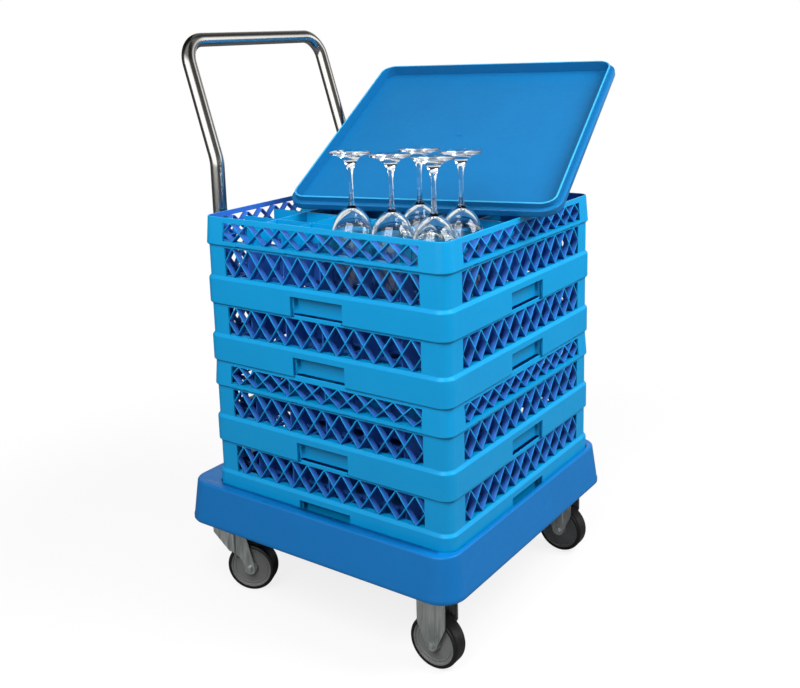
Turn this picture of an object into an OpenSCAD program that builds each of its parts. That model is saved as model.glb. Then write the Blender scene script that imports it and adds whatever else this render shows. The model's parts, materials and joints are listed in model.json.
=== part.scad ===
// Dolly for square glass racks: a moulded tray on two fixed and two swivel castors with a tube
// handle, carrying four racks, two height extenders, a loose lid and five inverted glasses.
// Origin on the floor under the middle of the tray, +X away from the handle, +Z up.

/* [Racks] */
// Side of the square band at the foot of a rack
rack_side = 500; // [470:1:520]
// Outer corner radius of the band
rack_corner = 22; // [19:0.5:26]
// Height of a rack from the foot of its band to the top of its rim
rack_h = 108; // [104:1:130]
// Height of the upright part of the band
band_h = 46; // [44:0.5:48]
// Thickness of the band
band_wall = 3.4; // [2.8:0.1:3.6]
// Distance from the face of the band back to the face of the upper wall
rim_set = 4; // [3.8:0.1:5]
// Thickness of the upper wall
wall = 3; // [2.4:0.1:3.6]
// Depth of a rim inside the rack that stands on it
nest = 4; // [3:0.5:6]
// Width of each corner post beside a window
post = 46; // [40:1:60]
// Height of the window sill above the foot of the band
sill_z = 51.5; // [51:0.5:56]
// Height of the strip that forms the rim above a window
rim_strip = 6.5; // [5:0.5:9]
// Thickness of the sill
sill_t = 2.5; // [2:0.1:3]
// Bevel along the outer lower edge of the band
foot_bevel = 3; // [2:0.1:3.4]

/* [Lattice] */
// Number of diamonds along a window
diamonds = 11; // [7:1:13]
// Width of a lattice strand
strand = 2; // [1.6:0.1:4]
// Depth of the lattice behind the face of the wall
fin_depth = 11; // [8:0.5:13]

/* [Compartments] */
// Compartments along each side of a rack
cells = 6; // [4:1:6]
// Thickness of a divider strip
divider_t = 1.8; // [1.4:0.1:2.2]
// Depth of the divider tops below the rim
divider_drop = 14; // [10:1:20]
// Height of the top of the floor grid above the foot of the band
floor_z = 46; // [45:0.5:46]
// Thickness of the floor grid
floor_t = 5; // [4:0.5:5]
// Width of a floor grid bar
floor_bar = 5; // [4:0.5:8]

/* [Grips] */
// Length of a hand grip in the band
grip_len = 108; // [90:1:130]
// Height of a hand grip
grip_h = 36; // [30:0.5:37]
// Depth of a hand grip behind the face of the band
grip_depth = 12; // [10:0.5:14]
// Wall thickness of the pocket behind a hand grip
grip_wall = 2.2; // [1.8:0.1:2.6]

/* [Extenders] */
// Height of an extender
ext_h = 50; // [46:1:70]
// Height of its window sill
ext_sill_z = 9; // [8.5:0.5:12]
// Height of the strip above its window
ext_strip = 9; // [7:0.5:11]
// Number of clip slots along each side
clips = 4; // [2:1:4]
// Distance between clip slots
clip_pitch = 110; // [90:1:115]
// Length of a clip slot
clip_len = 13; // [10:0.5:16]
// Height of a clip slot
clip_h = 3.5; // [2.5:0.1:3.9]

/* [Tray] */
// Width of the rim in front of the rack recess
rim_front = 17; // [15:0.5:24]
// Width of the rim at each side of the recess
rim_side = 30; // [26:0.5:40]
// Width of the rim behind the recess, which carries the handle
rim_back = 57; // [52:0.5:64]
// Outer corner radius of the tray
tray_corner = 45; // [40:0.5:50]
// Height of the tray from the edge of its skirt to its rim
tray_h = 75; // [70:1:85]
// Depth of the rack recess
recess = 24; // [18:0.5:30]
// Thickness of the tray's walls
tray_wall = 4; // [3.2:0.1:4.5]
// How far the skirt leans out from rim to edge
tray_flare = 10; // [2:0.1:12]
// Radius of the rim's outer edge
tray_edge = 4; // [3:0.5:5]
// Height of the bead round the edge of the skirt
bead_h = 10; // [8:0.5:12]
// How far the castor pads sit above the edge of the skirt
pad_rise = 3; // [2:0.5:8]
// Thickness of a castor pad
pad_t = 8; // [6:0.5:10]
// Height of the ribs' lower edges above the edge of the skirt
rib_rise = 20; // [16:0.5:30]
// Distance from the middle to each lengthwise rib
rib_y = 70; // [40:1:100]
// Distance from the middle to each crosswise rib
rib_x = 90; // [60:1:120]

/* [Handle] */
// Diameter of the handle tube
tube_d = 25; // [22:0.5:26]
// Wall thickness of the handle tube
tube_wall = 1.5; // [1:0.1:2.5]
// Distance between the centres of the legs
leg_span = 366; // [300:1:400]
// Distance from the tray's back edge to the centre of a leg
leg_inset = 41; // [38:0.5:42]
// Height of the kink above the tray rim
kink_rise = 574; // [560:1:640]
// Angle at which the upper part leans back
handle_lean = 17.2; // [8:0.1:20]
// Length of the leaning part, from the kink to the middle of the grip bar
lean_len = 219; // [150:1:240]
// Centreline radius of the kink
kink_r = 70; // [50:1:90]
// Centreline radius of the two upper bends
top_bend = 42; // [36:1:60]
// Depth of a leg inside its socket
socket_depth = 52; // [44:0.5:56]

/* [Castors] */
// Wheel diameter
wheel_d = 90; // [86:1:100]
// Width of the tyre
tyre_w = 30; // [26:0.5:32]
// Radial thickness of the tyre
tyre_t = 6.5; // [5:0.1:8]
// Height from the floor to the top of a castor plate
castor_h = 145; // [140:0.5:150]
// Length of a castor plate
plate_len = 100; // [96:1:104]
// Width of a castor plate
plate_wid = 80; // [76:1:84]
// Corner radius of a castor plate
plate_round = 14; // [8:0.5:15]
// Thickness of a castor plate
plate_t = 3; // [2.5:0.1:4]
// Screw spacing along the plate
screw_len = 80; // [76:0.5:84]
// Screw spacing across the plate
screw_wid = 60; // [58:0.5:64]
// Distance from the tray's front and back edges to a castor centre
castor_inset = 63; // [61:0.5:70]
// Distance from the tray's side edges to a castor centre
castor_side = 57; // [55:0.5:64]
// Clear width between the legs of a fork
leg_gap = 36; // [34:0.5:40]
// Thickness of the fork sheet
fork_t = 2.5; // [2:0.1:3.5]
// Distance from the kingpin to the axle
trail = 38; // [30:0.5:44]
// Angle at which both swivel castors stand
swivel_rest = 23; // [-180:1:180]
// Axle diameter
axle_d = 8; // [7:0.1:9]
// Outer diameter of the axle bush
bush_d = 12; // [11.5:0.1:14]
// Kingpin diameter
kingpin_d = 12; // [10:0.1:13]
// Diameter of a bearing ball
ball_d = 6; // [5:0.1:6.4]
// Radius of the circle of balls
ball_circle = 22; // [20:0.5:24]
// Number of balls in a race
balls = 12; // [8:1:16]
// Diameter of a castor screw
screw_d = 8; // [6:0.1:8]

/* [Lid] */
// Depth of the lid
lid_h = 24; // [20:0.5:30]
// Height of the lid's rim below the lip
lid_rim_h = 14; // [11:0.5:16]
// Outer corner radius of the lid
lid_corner = 34; // [30:0.5:40]
// Thickness of the lid's plate
lid_plate = 3; // [2:0.1:4]
// Thickness of the lip that fits inside a rack rim
lip_t = 3; // [2.4:0.1:4]
// Radius of the lid's outer edge
lid_edge = 4; // [2:0.5:6]
// Slope of the lid as it leans on the stack
lid_tilt = 25.7; // [15:0.1:27]
// Turn of the lid about the vertical
lid_turn = 11.5; // [6:0.1:14]
// Sideways lean of the lid's lower edge
lid_lean = -0.8; // [-1.5:0.1:0]
// Position along the front rim at which the lid's lower edge rests
lid_touch_y = -15; // [-30:1:30]
// Distance along the lower edge from that rest to the middle of the lid
lid_shift = 185.5; // [180:0.5:200]

/* [Glasses] */
// Height of a glass
glass_h = 225; // [190:1:230]
// Height of the bowl
bowl_h = 137; // [110:1:145]
// How much narrower the mouth is than the bowl, measured at each side
mouth_set = 6.3; // [4:0.1:9]
// How much narrower the foot is than the bowl, measured at each side
foot_set = 4.3; // [2:0.1:8]
// Radius of the stem
stem_r = 3.6; // [3:0.1:5]
// Thickness of the bowl's wall
glass_t = 1.3; // [1:0.1:2]

/* [Clearances] */
// Gap between a seat and what stands on it
seat_gap = 0.2; // [0.15:0.05:0.3]
// Gap round a rim inside the rack above it
nest_gap = 0.6; // [0.4:0.05:0.8]
// Gap between the bowl of a glass and the dividers round it
bowl_gap = 1; // [0.6:0.1:2]
// Gap round a rack inside the tray recess
recess_gap = 2; // [1:0.1:3]
// Gap between pieces fixed to each other
fit_gap = 0.1; // [0.05:0.01:0.2]
// Radial clearance of a turning fit
run_gap = 0.05; // [0.02:0.01:0.08]
// Gap between a divider and the slot that it crosses
slot_gap = 0.2; // [0.15:0.05:0.3]

/* [Hidden] */
$fn = 48;
eps = 0.01;

// Rack sizes measured from the middle of the rack
rack_half = rack_side / 2;
rim_half = rack_half - rim_set;
band_in = rack_half - band_wall;
skirt_in = rim_half + nest_gap;
sill_half = rim_half - fin_depth;
corner_reach = rack_half - rack_corner;
ledge_in = rim_half - wall - 1;
ledge_z = nest + seat_gap;
ledge_t = 3;
window_half = rim_half - post;
window_h = rack_h - rim_strip - sill_z;
floor_half = rim_half - seat_gap * 3;
cell = 2 * sill_half / cells;
ext_window_h = ext_h - ext_strip - ext_sill_z;

// Tray sizes
recess_side = rack_side + 2 * recess_gap;
tray_len = recess_side + rim_front + rim_back;
tray_wid = recess_side + 2 * rim_side;
rack_x = (rim_back - rim_front) / 2;
skirt_z = castor_h - pad_rise;
rim_z = skirt_z + tray_h;
deck_z = rim_z - recess;
deck_low = deck_z - tray_wall;
castor_x = tray_len / 2 - castor_inset;
castor_y = tray_wid / 2 - castor_side;
leg_x = -tray_len / 2 + leg_inset;
socket_z = rim_z - socket_depth;

// Heights of the stack from below: four racks, with an extender on the second and the fourth
rack_step = rack_h - nest;
ext_step = ext_h - nest;
rack_1_z = deck_z + seat_gap;
rack_2_z = rack_1_z + rack_step;
ext_2_z = rack_2_z + rack_step;
rack_3_z = ext_2_z + ext_step;
rack_4_z = rack_3_z + rack_step;
ext_4_z = rack_4_z + rack_step;
stack_z = ext_4_z + ext_h;

// Castor sizes
axle_z = wheel_d / 2;
core_r = wheel_d / 2 - tyre_t;
plate_z = castor_h - plate_t;
ball_z = plate_z - ball_d - 1;
race_low = ball_z + 0.6;
crown_top = ball_z - 0.6;
crown_t = 6;
crown_r = ball_circle + ball_d / 2 + 5;
leg_out = leg_gap / 2 + fork_t;
boss_r = axle_d / 2 + 7;
hub_r = bush_d / 2 + 7;
hex_axle = axle_d * 1.6;
head_h = axle_d * 0.66;
fork_w = 53;

// Lid and glass sizes
lid_half = rack_half;
lip_half = rim_half - wall - 1;
lid_rest = stack_z + 0.3 - lid_edge * (sin(lid_tilt) + cos(lid_tilt) - 1);
glass_cells = [[0.5, -2.5], [1.5, -2.5], [2.5, -2.5], [1.5, -1.5], [2.5, -1.5]];
glass_z = rack_4_z + floor_z + seat_gap;
bowl_r = (cell - divider_t) / 2 - bowl_gap;
belly_r = bowl_r + 4.5;
mouth_r = bowl_r - mouth_set;
foot_r = bowl_r - foot_set;
foot_t = 2.4;

// Point on a cubic curve through four control points
function curve(p, t) =
    pow(1 - t, 3) * p[0] + 3 * t * pow(1 - t, 2) * p[1] + 3 * t * t * (1 - t) * p[2] + pow(t, 3) * p[3];

// Rectangle with round corners
module plan(len, wid, r) {
    square([len - 2 * r, wid], center = true);
    square([len, wid - 2 * r], center = true);
    for (sx = [-1, 1], sy = [-1, 1])
        translate([sx * (len / 2 - r), sy * (wid / 2 - r)]) circle(r);
}

// Carries a wall profile round a rectangle with round corners. The profile's x runs outwards
// from the centres of the corners and its y is height.
module carried_round(len, wid, r) {
    rx = len / 2 - r;
    ry = wid / 2 - r;
    for (turn = [0, 180]) rotate(turn) {
        translate([rx, ry, 0]) rotate_extrude(angle = 90) children();
        translate([rx, ry, 0]) rotate([90, 0, 0]) linear_extrude(2 * ry) children();
        translate([-rx, ry, 0]) rotate(90) rotate_extrude(angle = 90) children();
        translate([-rx, ry, 0]) rotate(90) rotate([90, 0, 0]) linear_extrude(2 * rx) children();
    }
}

// Repeats its children on the four sides of a rack
module on_four_sides() {
    for (turn = [0:90:270]) rotate(turn) children();
}

// Points along the round that eases the corner b between its neighbours a and c
function corner_arc(a, b, c, r) = let (
    u = (a - b) / norm(a - b), v = (c - b) / norm(c - b), half = acos(u * v) / 2,
    middle = b + (u + v) / norm(u + v) * r / sin(half),
    from = b + u * r / tan(half) - middle, to = b + v * r / tan(half) - middle
) [for (k = [0:3]) let (w = from * (3 - k) + to * k) middle + w * r / norm(w)];

// Outline whose corners are eased where a point carries a third value, the radius
function eased(points) = let (n = len(points), at = [for (p = points) [p[0], p[1]]]) [
    for (i = [0:n - 1]) each is_undef(points[i][2]) ? [at[i]]
        : corner_arc(at[(i + n - 1) % n], at[i], at[(i + 1) % n], points[i][2])
];

// Wall profile given by distance from the middle of the rack
module rack_profile(points) {
    translate([-corner_reach, 0]) polygon(eased(points));
}

// Frame of a base rack: bevelled band, shoulder, upper wall with rim, inner seat and sill
module rack_frame() {
    shoulder = sill_z - 0.5;
    difference() {
        union() {
            carried_round(rack_side, rack_side, rack_corner) rack_profile([
                [rack_half - foot_bevel, 0], [rack_half, foot_bevel, 2],
                [rack_half, band_h, 3], [rim_half, shoulder, 2],
                [rim_half, rack_h, 1.2], [rim_half - wall, rack_h, 0.8],
                [rim_half - wall, sill_z], [sill_half, sill_z],
                [sill_half, sill_z - sill_t], [rim_half - wall, sill_z - sill_t],
                [band_in, band_h - 1], [band_in, ledge_z + ledge_t],
                [ledge_in, ledge_z + ledge_t], [ledge_in, ledge_z],
                [skirt_in, ledge_z], [skirt_in, 0]
            ]);
            on_four_sides() grip_pocket(grip_wall, ledge_z + ledge_t / 2, grip_h + grip_wall, band_in + 1);
        }
        on_four_sides() {
            translate([rim_half - wall - 1, -window_half, sill_z])
                cube([wall + 2, 2 * window_half, window_h]);
            grip_pocket(0, -1, grip_h, rack_half + 1);
            at_clips() translate([rim_half - wall - 1, 0, rack_h - nest + seat_gap])
                cube([wall + 2, clip_len - 2 * slot_gap, clip_h - 2 * seat_gap]);
        }
    }
}

// Repeats its children at the start of each clip slot along a side
module at_clips() {
    for (i = [0:clips - 1]) translate([0, (i - (clips - 1) / 2) * clip_pitch - clip_len / 2, 0]) children();
}

// Block of a hand grip with round inner corners, grown by a wall, between two heights
module grip_pocket(grow, low, high, face) {
    r = 8 + grow;
    back = rack_half - grip_depth - grow;
    half = grip_len / 2 + grow;
    translate([0, 0, low]) linear_extrude(high - low) intersection() {
        translate([back, -half]) square([face - back, 2 * half]);
        union() {
            translate([back + r, -half]) square([face, 2 * half]);
            translate([back, -half + r]) square([r + 1, 2 * (half - r)]);
            for (s = [-1, 1]) translate([back + r, s * (half - r)]) circle(r);
        }
    }
}

// Strands of a lattice window, centred on its sill; they cross a little beyond its edges
module strands(half, high) {
    over = strand / 3;
    step = 2 * (half + over) / diamonds;
    rise = high + 2 * over;
    intersection() {
        translate([-half, 0]) square([2 * half, high]);
        for (i = [0:diamonds], s = [-1, 1])
            translate([-half - over + i * step, high / 2]) rotate(s * atan2(rise, step))
                square([norm([step, rise]) + 2 * strand, strand], center = true);
    }
}

// Lattice panel standing upright in a window, its fronts level with the given face
module lattice_panel(half, sill, high, face) {
    translate([sill_half + fit_gap, 0, sill + fit_gap]) rotate([90, 0, 90])
        linear_extrude(face - sill_half - fit_gap) strands(half - fit_gap, high - 2 * fit_gap);
}

module rack_lattice() {
    on_four_sides() lattice_panel(window_half, sill_z, window_h, rim_half);
}

// One divider strip along X, slotted from above or from below where it crosses the others
module divider(low, high, from_top) {
    long = 2 * (sill_half - slot_gap);
    tall = high - low;
    slot = divider_t + 2 * slot_gap;
    difference() {
        translate([-long / 2, -divider_t / 2, low]) cube([long, divider_t, tall]);
        for (i = [1:cells - 1])
            translate([(i - cells / 2) * cell - slot / 2, -divider_t, from_top ? low + tall / 2 : low - 1])
                cube([slot, 2 * divider_t, tall / 2 + (from_top ? 1 : 1 + slot_gap)]);
    }
}

// Two crossing sets of divider strips
module dividers(low, high) {
    for (i = [1:cells - 1]) {
        translate([0, (i - cells / 2) * cell, 0]) divider(low, high, true);
        rotate(90) translate([0, (i - cells / 2) * cell, 0]) divider(low, high, false);
    }
}

// Floor grid of a base rack: a plate pierced by two by two holes under each compartment
module floor_grid() {
    hole = cell / 2 - floor_bar;
    side = 2 * floor_half;
    translate([0, 0, floor_z - floor_t]) linear_extrude(floor_t) difference() {
        plan(side, side, rack_corner - rim_set);
        for (i = [0:2 * cells - 1], j = [0:2 * cells - 1])
            translate([(i - cells + 0.5) * cell / 2, (j - cells + 0.5) * cell / 2])
                square(hole, center = true);
    }
}

module rack_grid() {
    floor_grid();
    dividers(floor_z + seat_gap, rack_h - divider_drop);
}

// Distance of an extender's flared face from the middle, at a height
function flare_at(z) = rack_half - rim_set * (z - foot_bevel) / (ext_h - foot_bevel);

// Frame of an extender: flared wall, inner seat and sill, clip slots along the seam below
module extender_frame() {
    difference() {
        carried_round(rack_side, rack_side, rack_corner) rack_profile([
            [rack_half - foot_bevel, 0], [rack_half, foot_bevel, 2],
            [rim_half, ext_h, 1.2], [rim_half - wall, ext_h, 0.8],
            [flare_at(ext_sill_z) - wall, ext_sill_z], [sill_half, ext_sill_z],
            [sill_half, ext_sill_z - 2], [ledge_in, ext_sill_z - 2],
            [ledge_in, ledge_z], [skirt_in, ledge_z], [skirt_in, 0]
        ]);
        on_four_sides() {
            translate([rim_half - wall - 2, -window_half, ext_sill_z])
                cube([wall + rim_set + 3, 2 * window_half, ext_window_h]);
            at_clips() translate([skirt_in - 1, 0, -1]) cube([rack_half, clip_len, clip_h + 1]);
        }
    }
}

module extender_lattice() {
    on_four_sides() lattice_panel(window_half, ext_sill_z, ext_window_h,
        flare_at(ext_sill_z + ext_window_h));
}

module extender_dividers() {
    dividers(seat_gap * 10, ext_h - divider_drop);
}

// Tray: flared skirt with a bead, flat rim, rack recess, castor pads, ribs and handle sockets
module tray() {
    top = tray_corner - tray_flare;
    inner_r = rack_corner + recess_gap;
    out_r = tube_d / 2 + fit_gap + tray_wall;
    color("#0d6fb5") difference() {
        union() {
            carried_round(tray_len, tray_wid, tray_corner) polygon(concat(
                [[tray_corner - tray_wall - 1, skirt_z], [tray_corner - 1.5, skirt_z],
                 [tray_corner, skirt_z + 2], [tray_corner, skirt_z + bead_h - 3],
                 [tray_corner - 1.2, skirt_z + bead_h]],
                [for (a = [0:15:90]) [top - tray_edge + tray_edge * cos(a), rim_z - tray_edge + tray_edge * sin(a)]],
                [[top - tray_edge - 2, rim_z], [top - tray_edge - 2, rim_z - tray_wall],
                 [top - tray_wall, rim_z - tray_edge - 1]]
            ));
            translate([0, 0, rim_z - tray_wall]) linear_extrude(tray_wall) difference() {
                plan(tray_len - 2 * (tray_flare + tray_edge), tray_wid - 2 * (tray_flare + tray_edge),
                    top - tray_edge);
                translate([rack_x, 0]) plan(recess_side, recess_side, inner_r);
            }
            translate([rack_x, 0, deck_low]) linear_extrude(rim_z - deck_low) difference() {
                plan(recess_side + 2 * tray_wall, recess_side + 2 * tray_wall, inner_r + tray_wall);
                plan(recess_side, recess_side, inner_r);
            }
            translate([rack_x, 0, deck_low]) linear_extrude(tray_wall)
                plan(recess_side + tray_wall, recess_side + tray_wall, inner_r + tray_wall / 2);
            tray_ribs();
            for (sx = [-1, 1], sy = [-1, 1]) translate([sx * castor_x, sy * castor_y, 0]) castor_pad();
            for (s = [-1, 1]) translate([leg_x, s * leg_span / 2, socket_z - tray_wall])
                cylinder(r = out_r, h = rim_z - socket_z + tray_wall);
        }
        for (s = [-1, 1]) translate([leg_x, s * leg_span / 2, socket_z])
            cylinder(r = tube_d / 2 + fit_gap, h = socket_depth + 1);
        at_screws() translate([0, 0, castor_h - 1]) cylinder(d = screw_d + 2 * fit_gap, h = pad_t + 3);
    }
}

// Ribs under the deck, from skirt to skirt
module tray_ribs() {
    low = skirt_z + rib_rise;
    len = tray_len - 2 * (tray_flare + tray_wall / 2);
    wid = tray_wid - 2 * (tray_flare + tray_wall / 2);
    for (s = [-1, 1]) {
        translate([-len / 2, s * rib_y - tray_wall / 2, low]) cube([len, tray_wall, deck_low + 1 - low]);
        translate([s * rib_x - tray_wall / 2, -wid / 2, low]) cube([tray_wall, wid, deck_low + 1 - low]);
    }
}

// Pad that carries a castor plate, hung from the deck by three ribs
module castor_pad() {
    len = plate_len + 4;
    wid = plate_wid + 4;
    translate([0, 0, castor_h]) linear_extrude(pad_t) plan(len, wid, plate_round + 2);
    for (s = [-1, 0, 1])
        translate([-len / 2 + 10, s * (screw_wid / 2 + screw_d / 2 + 2.5) - tray_wall / 2, castor_h + 1])
            cube([len - 20, tray_wall, deck_low - castor_h]);
}

// Ring section of the handle tube, thinned where one length enters the next
module tube_ring(thin = 0) {
    difference() {
        circle(d = tube_d - 2 * thin);
        circle(d = tube_d - 2 * tube_wall + 2 * thin);
    }
}

// Handle: upright legs, kink, leaning legs, two bends and the grip bar, one bent tube
module handle() {
    kink_z = rim_z + kink_rise;
    set = kink_r * tan(handle_lean / 2);
    half = leg_span / 2;
    color("#c9ced2") for (s = [0, 1]) mirror([0, s, 0]) {
        translate([leg_x, half, socket_z + seat_gap])
            linear_extrude(kink_z - set - socket_z - seat_gap) tube_ring();
        translate([leg_x - kink_r, half, kink_z - set]) rotate([90, 0, 0])
            rotate_extrude(angle = handle_lean) translate([kink_r, 0]) tube_ring();
        translate([leg_x, 0, kink_z]) rotate([0, -handle_lean, 0]) {
            translate([0, half, set - 1.5])
                linear_extrude(lean_len - top_bend - set + 3) tube_ring(0.12);
            translate([0, half - top_bend, lean_len - top_bend]) rotate([90, 0, 90])
                rotate_extrude(angle = 90) translate([top_bend, 0]) tube_ring();
            translate([0, half - top_bend, lean_len]) rotate([90, 0, 0])
                linear_extrude(half - top_bend) tube_ring();
        }
    }
}

// Places its children at the four screws of each castor
module at_screws() {
    for (sx = [-1, 1], sy = [-1, 1], tx = [-1, 1], ty = [-1, 1])
        translate([sx * castor_x + tx * screw_len / 2, sy * castor_y + ty * screw_wid / 2, 0]) children();
}

module castor_screws() {
    color("#9aa0a3") at_screws() {
        translate([0, 0, plate_z - 0.05 - head_h]) cylinder(d = screw_d * 1.7, h = head_h, $fn = 6);
        translate([0, 0, plate_z - 0.05 - eps]) cylinder(d = screw_d, h = plate_t + pad_t + 6);
    }
}

// Outline of a castor plate with its screw holes
module plate_outline() {
    difference() {
        plan(plate_len, plate_wid, plate_round);
        for (tx = [-1, 1], ty = [-1, 1]) translate([tx * screw_len / 2, ty * screw_wid / 2])
            circle(d = screw_d + 0.4);
    }
}

// Section of the groove that the balls run in
module ball_groove() {
    rotate_extrude() translate([ball_circle, ball_z]) circle(d = ball_d + 0.6);
}

// Swivel plate with the upper race pressed into it
module swivel_plate() {
    color("#8f9699") difference() {
        union() {
            translate([0, 0, plate_z]) linear_extrude(plate_t) plate_outline();
            rotate_extrude() polygon([
                [0, race_low], [crown_r - 2, race_low], [crown_r, race_low + 2],
                [crown_r + 2, plate_z], [crown_r + 2, plate_z + 1], [0, plate_z + 1]
            ]);
        }
        ball_groove();
        translate([0, 0, race_low - 1]) cylinder(d = kingpin_d + 0.04, h = castor_h);
    }
}

// Riveted kingpin, with its head under the crown of the fork
module kingpin() {
    head = crown_top - crown_t - 0.4;
    color("#9aa0a3") rotate_extrude() polygon([
        [0, head - 6], [kingpin_d / 2 + 3, head - 6], [kingpin_d / 2 + 5, head - 3],
        [kingpin_d / 2 + 5, head], [kingpin_d / 2, head],
        [kingpin_d / 2, castor_h - 0.5], [0, castor_h - 0.5]
    ]);
}

module race_balls() {
    color("#d0d3d5") for (i = [0:balls - 1]) rotate(i * 360 / balls)
        translate([ball_circle, 0, ball_z]) sphere(d = ball_d);
}

// Leg of the swivel fork, seen from the side: straight front edge, hollowed back edge, round boss
module swivel_leg() {
    top = crown_top - crown_t;
    difference() {
        union() {
            polygon([
                [-crown_r + 2, top + crown_t - 1], [crown_r - 2, top + crown_t - 1], [crown_r, top - 8],
                [trail + boss_r, axle_z], [trail - boss_r, axle_z], [-crown_r + 2, top - 14]
            ]);
            translate([trail, axle_z]) circle(boss_r);
        }
        translate([trail - boss_r - 34, axle_z - 2]) circle(36);
        translate([trail, axle_z]) circle(d = axle_d + 2 * fit_gap);
    }
}

module swivel_fork() {
    color("#9aa1a2") difference() {
        union() {
            translate([0, 0, crown_top - crown_t]) cylinder(r = crown_r, h = crown_t);
            for (s = [0, 1]) mirror([0, s, 0]) translate([0, leg_out, 0]) rotate([90, 0, 0]) {
                linear_extrude(fork_t) swivel_leg();
                translate([12, axle_z + 20, 0]) rotate([-90, 0, 0])
                    cylinder(d = 4, h = crown_top - crown_t - axle_z - 20);
            }
        }
        ball_groove();
        translate([0, 0, axle_z + 40]) cylinder(d = kingpin_d + 2 * run_gap, h = castor_h);
    }
}

// Leg of the fixed fork: broad and straight, then drawn in to the axle on both sides
module fixed_leg() {
    half = fork_w / 2;
    difference() {
        union() {
            polygon([
                [-half, plate_z + 1], [half, plate_z + 1], [half, axle_z + 34],
                [boss_r, axle_z], [-boss_r, axle_z], [-half, axle_z + 34]
            ]);
            translate([0, axle_z]) circle(boss_r);
        }
        translate([0, axle_z]) circle(d = axle_d + 2 * fit_gap);
    }
}

module fixed_fork() {
    color("#9aa1a2") {
        translate([0, 0, plate_z]) linear_extrude(plate_t) plate_outline();
        for (s = [0, 1]) mirror([0, s, 0]) translate([0, leg_out, 0]) rotate([90, 0, 0]) {
            linear_extrude(fork_t) fixed_leg();
            translate([9, axle_z + 16, 0]) rotate([-90, 0, 0])
                cylinder(d = 4, h = plate_z - axle_z - 16);
        }
    }
}

// Axle bolt along Y with its head on the outer side of the left leg
module axle_bolt() {
    color("#aeb3b5") {
        translate([0, -leg_out - 0.05, 0]) rotate([90, 0, 0])
            cylinder(d = hex_axle, h = head_h, $fn = 6);
        translate([0, -leg_out - 0.05 - eps, 0]) rotate([-90, 0, 0])
            cylinder(d = axle_d, h = 2 * leg_out + head_h + 3);
    }
}

module axle_nut() {
    color("#aeb3b5") translate([0, leg_out + 0.05, 0]) rotate([-90, 0, 0]) difference() {
        cylinder(d = hex_axle, h = head_h, $fn = 6);
        translate([0, 0, -1]) cylinder(d = axle_d + 0.06, h = head_h + 2);
    }
}

module axle_bush() {
    wide = leg_gap - 2 * fit_gap;
    color("#b9bcbd") rotate([90, 0, 0]) translate([0, 0, -wide / 2]) difference() {
        cylinder(d = bush_d, h = wide);
        translate([0, 0, -1]) cylinder(d = axle_d + 2 * run_gap, h = wide + 2);
    }
}

// Dished wheel core turned about Y: hub, thin web and rim
module wheel_core() {
    bore = bush_d / 2 + run_gap;
    hub = leg_gap / 2 - 0.5;
    rim = tyre_w / 2 - 1.5;
    color("#4a4d50") rotate([90, 0, 0]) rotate_extrude() polygon(concat(
        [[bore, -hub], [hub_r - 2, -hub], [hub_r, -hub + 2], [hub_r + 2, -4.5],
         [core_r - 8, -6], [core_r - 5, -rim], [core_r, -rim]],
        [[core_r, rim], [core_r - 5, rim], [core_r - 8, 6], [hub_r + 2, 4.5],
         [hub_r, hub - 2], [hub_r - 2, hub], [bore, hub]]
    ));
}

// Tyre with rounded shoulders
module tyre() {
    half = tyre_w / 2;
    round = tyre_t - 1.5;
    color("#17181a") rotate([90, 0, 0]) rotate_extrude() polygon(concat(
        [[core_r + 0.02, -half], [axle_z - round, -half]],
        [for (a = [-75:15:0]) [axle_z - round + round * cos(a), -half + round + round * sin(a)]],
        [for (a = [0:15:75]) [axle_z - round + round * cos(a), half - round + round * sin(a)]],
        [[axle_z - round, half], [core_r + 0.02, half]]
    ));
}

// Places a swivel castor's fixed and turning pieces; side is -1 at the left and 1 at the right
module at_swivel(side) translate([-castor_x, side * castor_y, 0]) children();
module at_turned(side) at_swivel(side) rotate(swivel_rest) children();
module at_swivel_axle(side) at_turned(side) translate([trail, 0, axle_z]) children();
module at_fixed(side) translate([castor_x, side * castor_y, 0]) children();
module at_fixed_axle(side) at_fixed(side) translate([0, 0, axle_z]) children();

// Places a rack or an extender at a height of the stack
module at_stack(z) color("#118fd0") translate([rack_x, 0, z]) children();

// Lid lying with its hollow side up; the plate's outer face is at the bottom
module lid_shape() {
    side = 2 * lid_half;
    set = lid_half - lid_corner;
    carried_round(side, side, lid_corner) translate([-set, 0]) polygon(eased(concat(
        [[lip_half - lip_t - 2, 0]],
        [for (a = [-90:18:0]) [lid_half - lid_edge + lid_edge * cos(a), lid_edge + lid_edge * sin(a)]],
        [[lid_half, lid_rim_h, 2], [lip_half, lid_rim_h], [lip_half, lid_h, 1.2],
         [lip_half - lip_t, lid_h, 0.8], [lip_half - lip_t, lid_plate], [lip_half - lip_t - 2, lid_plate]]
    )));
    linear_extrude(lid_plate)
        plan(2 * (lip_half - lip_t), 2 * (lip_half - lip_t), lid_corner - (lid_half - lip_half + lip_t));
    cylinder(r = 5, h = lid_plate + 0.8);
}

// The lid leans with its lower edge on the front rim of the top extender
module lid() {
    color("#1580c4") translate([rack_x + rim_half, lid_touch_y, lid_rest])
        rotate([lid_tilt, lid_lean, lid_turn]) translate([-lid_shift, lid_half, 0]) lid_shape();
}

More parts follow.
